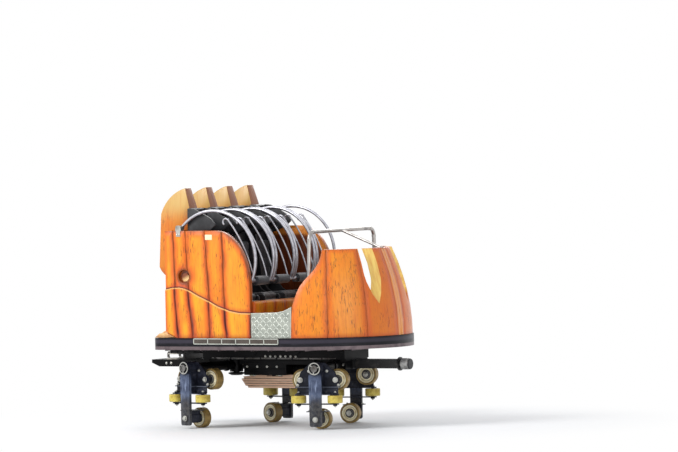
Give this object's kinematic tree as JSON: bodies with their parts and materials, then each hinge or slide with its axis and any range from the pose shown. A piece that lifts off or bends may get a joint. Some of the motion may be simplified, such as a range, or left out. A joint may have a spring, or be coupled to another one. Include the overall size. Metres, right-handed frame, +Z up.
{
  "type": "roller coaster car",
  "caption": "Spinning coaster car with a plank-look cabin, horned rear wall, side-by-side seats under tube restraints, on a chassis with steered wheel bogies.",
  "frame": {"origin": "on the cabin's turning axis, at the floor under the up-stop wheels", "axes": "+X forward, +Y to the car's left, +Z up"},
  "size_m": [2.81, 1.692, 2.328],
  "materials": {
    "chassis_paint": "satin black paint",
    "bogie_paint": "dark blue-black paint",
    "skid_lining": "copper brown",
    "bumper_rubber": "matte",
    "ring_steel": "machined",
    "deck_steel": "brushed",
    "skirt_rubber": "satin",
    "cabin_orange": "glossy airbrushed",
    "cabin_brown": "glossy",
    "stump_wood": "matte pale wood tone",
    "checker_plate": "bright checker plate",
    "rail_steel": "bright",
    "seat_black": "moulded",
    "seat_pad": "soft black",
    "hoop_steel": "polished",
    "wheel_tan": "cast polyurethane tread",
    "wheel_yellow": "cast polyurethane tread"
  },
  "bodies": {
    "chassis": {"chassis_frame": "chassis_paint", "equipment_box": "chassis_paint", "drive_skid": "skid_lining", "front_bumper": "bumper_rubber", "rear_bumper": "chassis_paint", "rear_bracket": "checker_plate", "ring_lower": "ring_steel"},
    "front_axle": {"front_axle": "chassis_paint", "front_near_bogie": "bogie_paint", "front_far_bogie": "bogie_paint"},
    "rear_axle": {"rear_axle": "chassis_paint", "rear_near_bogie": "bogie_paint", "rear_far_bogie": "bogie_paint"},
    "cabin": {"platform_deck": "deck_steel", "platform_skirt": "skirt_rubber", "side_panels": "cabin_orange", "rear_staves": "cabin_orange", "rear_panel": "cabin_brown", "stump_skirt": "stump_wood", "front_shell": "cabin_orange", "dash_panel": "cabin_brown", "sill_plates": "checker_plate", "step_plates": "checker_plate", "handrail": "rail_steel", "seat_base": "cabin_orange", "seat_shells": "seat_black", "seat_wings": "seat_black", "seat_pads": "seat_pad", "pivot_brackets": "hoop_steel", "ring_upper": "ring_steel"},
    "front_near_road_wheel_fore": {"front_near_road_wheel_fore": "wheel_tan"},
    "front_near_road_wheel_aft": {"front_near_road_wheel_aft": "wheel_tan"},
    "front_near_guide_wheel_fore": {"front_near_guide_wheel_fore": "wheel_yellow"},
    "front_near_guide_wheel_aft": {"front_near_guide_wheel_aft": "wheel_yellow"},
    "front_near_upstop_wheel": {"front_near_upstop_wheel": "wheel_tan"},
    "front_far_road_wheel_fore": {"front_far_road_wheel_fore": "wheel_tan"},
    "front_far_road_wheel_aft": {"front_far_road_wheel_aft": "wheel_tan"},
    "front_far_guide_wheel_fore": {"front_far_guide_wheel_fore": "wheel_yellow"},
    "front_far_guide_wheel_aft": {"front_far_guide_wheel_aft": "wheel_yellow"},
    "front_far_upstop_wheel": {"front_far_upstop_wheel": "wheel_tan"},
    "rear_near_road_wheel_fore": {"rear_near_road_wheel_fore": "wheel_tan"},
    "rear_near_road_wheel_aft": {"rear_near_road_wheel_aft": "wheel_tan"},
    "rear_near_guide_wheel_fore": {"rear_near_guide_wheel_fore": "wheel_yellow"},
    "rear_near_guide_wheel_aft": {"rear_near_guide_wheel_aft": "wheel_yellow"},
    "rear_near_upstop_wheel": {"rear_near_upstop_wheel": "wheel_tan"},
    "rear_far_road_wheel_fore": {"rear_far_road_wheel_fore": "wheel_tan"},
    "rear_far_road_wheel_aft": {"rear_far_road_wheel_aft": "wheel_tan"},
    "rear_far_guide_wheel_fore": {"rear_far_guide_wheel_fore": "wheel_yellow"},
    "rear_far_guide_wheel_aft": {"rear_far_guide_wheel_aft": "wheel_yellow"},
    "rear_far_upstop_wheel": {"rear_far_upstop_wheel": "wheel_tan"},
    "restraint_1": {"restraint_1": "hoop_steel", "lap_pad_1": "seat_pad"},
    "restraint_2": {"restraint_2": "hoop_steel", "lap_pad_2": "seat_pad"},
    "restraint_3": {"restraint_3": "hoop_steel", "lap_pad_3": "seat_pad"},
    "restraint_4": {"restraint_4": "hoop_steel", "lap_pad_4": "seat_pad"}
  },
  "joints": [
    {"name": "front_steer", "type": "hinge", "parent": "chassis", "child": "front_axle", "pos_m": [0.56, 0, 0.587], "axis": [0, 0, 1], "range_deg": [-34, 6]},
    {"name": "rear_steer", "type": "hinge", "parent": "chassis", "child": "rear_axle", "pos_m": [-0.56, 0, 0.587], "axis": [0, 0, 1], "range_deg": [-6, 34]},
    {"name": "cabin_spin", "type": "hinge", "parent": "chassis", "child": "cabin", "pos_m": [0, 0, 0.76], "axis": [0, 0, 1], "continuous": true},
    {"name": "front_near_road_wheel_fore_spin", "type": "hinge", "parent": "front_axle", "child": "front_near_road_wheel_fore", "pos_m": [0.84931, -0.43287, 0.475], "axis": [-0.2419, 0.9703, 0], "continuous": true},
    {"name": "front_near_road_wheel_aft_spin", "type": "hinge", "parent": "front_axle", "child": "front_near_road_wheel_aft", "pos_m": [0.50777, -0.51802, 0.475], "axis": [-0.2419, 0.9703, 0], "continuous": true},
    {"name": "front_near_guide_wheel_fore_spin", "type": "hinge", "parent": "front_axle", "child": "front_near_guide_wheel_fore", "pos_m": [0.89263, -0.58181, 0.29], "axis": [0, 0, 1], "continuous": true},
    {"name": "front_near_guide_wheel_aft_spin", "type": "hinge", "parent": "front_axle", "child": "front_near_guide_wheel_aft", "pos_m": [0.53945, -0.66987, 0.29], "axis": [0, 0, 1], "continuous": true},
    {"name": "front_near_upstop_wheel_spin", "type": "hinge", "parent": "front_axle", "child": "front_near_upstop_wheel", "pos_m": [0.67854, -0.47545, 0.098], "axis": [-0.2419, 0.9703, 0], "continuous": true},
    {"name": "front_far_road_wheel_fore_spin", "type": "hinge", "parent": "front_axle", "child": "front_far_road_wheel_fore", "pos_m": [0.61223, 0.51802, 0.475], "axis": [-0.2419, 0.9703, 0], "continuous": true},
    {"name": "front_far_road_wheel_aft_spin", "type": "hinge", "parent": "front_axle", "child": "front_far_road_wheel_aft", "pos_m": [0.27069, 0.43287, 0.475], "axis": [-0.2419, 0.9703, 0], "continuous": true},
    {"name": "front_far_guide_wheel_fore_spin", "type": "hinge", "parent": "front_axle", "child": "front_far_guide_wheel_fore", "pos_m": [0.58055, 0.66987, 0.29], "axis": [0, 0, 1], "continuous": true},
    {"name": "front_far_guide_wheel_aft_spin", "type": "hinge", "parent": "front_axle", "child": "front_far_guide_wheel_aft", "pos_m": [0.22737, 0.58181, 0.29], "axis": [0, 0, 1], "continuous": true},
    {"name": "front_far_upstop_wheel_spin", "type": "hinge", "parent": "front_axle", "child": "front_far_upstop_wheel", "pos_m": [0.44146, 0.47545, 0.098], "axis": [-0.2419, 0.9703, 0], "continuous": true},
    {"name": "rear_near_road_wheel_fore_spin", "type": "hinge", "parent": "rear_axle", "child": "rear_near_road_wheel_fore", "pos_m": [-0.50777, -0.51802, 0.475], "axis": [0.2419, 0.9703, 0], "continuous": true},
    {"name": "rear_near_road_wheel_aft_spin", "type": "hinge", "parent": "rear_axle", "child": "rear_near_road_wheel_aft", "pos_m": [-0.84931, -0.43287, 0.475], "axis": [0.2419, 0.9703, 0], "continuous": true},
    {"name": "rear_near_guide_wheel_fore_spin", "type": "hinge", "parent": "rear_axle", "child": "rear_near_guide_wheel_fore", "pos_m": [-0.53945, -0.66987, 0.29], "axis": [0, 0, 1], "continuous": true},
    {"name": "rear_near_guide_wheel_aft_spin", "type": "hinge", "parent": "rear_axle", "child": "rear_near_guide_wheel_aft", "pos_m": [-0.89263, -0.58181, 0.29], "axis": [0, 0, 1], "continuous": true},
    {"name": "rear_near_upstop_wheel_spin", "type": "hinge", "parent": "rear_axle", "child": "rear_near_upstop_wheel", "pos_m": [-0.67854, -0.47545, 0.098], "axis": [0.2419, 0.9703, 0], "continuous": true},
    {"name": "rear_far_road_wheel_fore_spin", "type": "hinge", "parent": "rear_axle", "child": "rear_far_road_wheel_fore", "pos_m": [-0.27069, 0.43287, 0.475], "axis": [0.2419, 0.9703, 0], "continuous": true},
    {"name": "rear_far_road_wheel_aft_spin", "type": "hinge", "parent": "rear_axle", "child": "rear_far_road_wheel_aft", "pos_m": [-0.61223, 0.51802, 0.475], "axis": [0.2419, 0.9703, 0], "continuous": true},
    {"name": "rear_far_guide_wheel_fore_spin", "type": "hinge", "parent": "rear_axle", "child": "rear_far_guide_wheel_fore", "pos_m": [-0.22737, 0.58181, 0.29], "axis": [0, 0, 1], "continuous": true},
    {"name": "rear_far_guide_wheel_aft_spin", "type": "hinge", "parent": "rear_axle", "child": "rear_far_guide_wheel_aft", "pos_m": [-0.58055, 0.66987, 0.29], "axis": [0, 0, 1], "continuous": true},
    {"name": "rear_far_upstop_wheel_spin", "type": "hinge", "parent": "rear_axle", "child": "rear_far_upstop_wheel", "pos_m": [-0.44146, 0.47545, 0.098], "axis": [0.2419, 0.9703, 0], "continuous": true},
    {"name": "restraint_1_lift", "type": "hinge", "parent": "cabin", "child": "restraint_1", "pos_m": [-0.69, -0.579, 1.948], "axis": [0, -1, 0], "range_deg": [0, 70]},
    {"name": "restraint_2_lift", "type": "hinge", "parent": "cabin", "child": "restraint_2", "pos_m": [-0.69, -0.193, 1.948], "axis": [0, -1, 0], "range_deg": [0, 70]},
    {"name": "restraint_3_lift", "type": "hinge", "parent": "cabin", "child": "restraint_3", "pos_m": [-0.69, 0.193, 1.948], "axis": [0, -1, 0], "range_deg": [0, 70]},
    {"name": "restraint_4_lift", "type": "hinge", "parent": "cabin", "child": "restraint_4", "pos_m": [-0.69, 0.579, 1.948], "axis": [0, -1, 0], "range_deg": [0, 70]}
  ]
}
